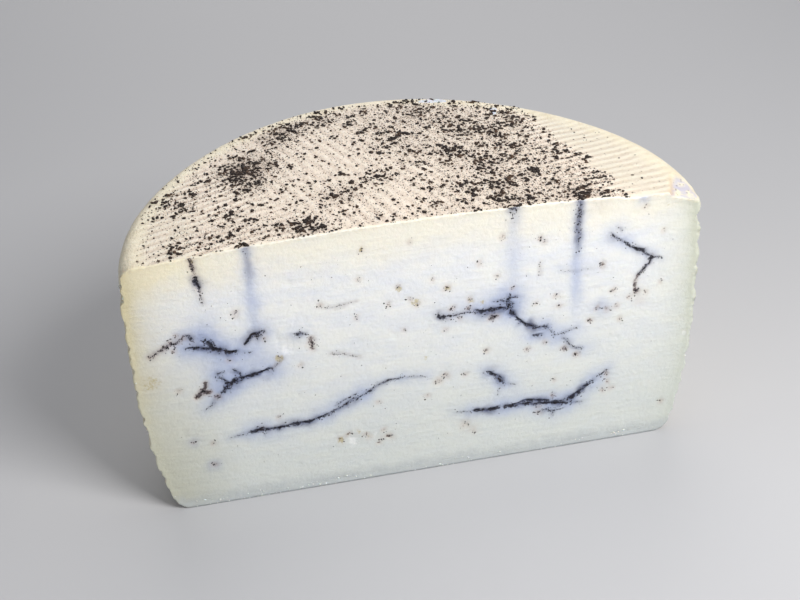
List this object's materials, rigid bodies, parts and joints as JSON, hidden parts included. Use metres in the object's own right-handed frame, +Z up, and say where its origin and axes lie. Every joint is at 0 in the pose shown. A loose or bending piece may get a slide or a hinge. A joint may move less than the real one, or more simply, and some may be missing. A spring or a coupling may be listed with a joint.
{
  "type": "truffle sheep cheese",
  "caption": "Half wheel of sheep cheese, cut face showing dark truffle veins and needle marks, ribbed side, truffle-dusted domed top and a flat base to rest on.",
  "frame": {"origin": "middle of the base of the bounding box, on the surface that the cheese stands on", "axes": "+X along the knife cut to the right as seen from the cut side, -Y out of the cut face, +Z up along the wheel's own axis"},
  "size_m": [0.1828, 0.0972, 0.0984],
  "materials": {
    "cheese_paste": "moist ivory paste, satin",
    "truffle": "dull dark brown crumb"
  },
  "bodies": {
    "root": {"cheese": "cheese_paste"}
  },
  "joints": []
}
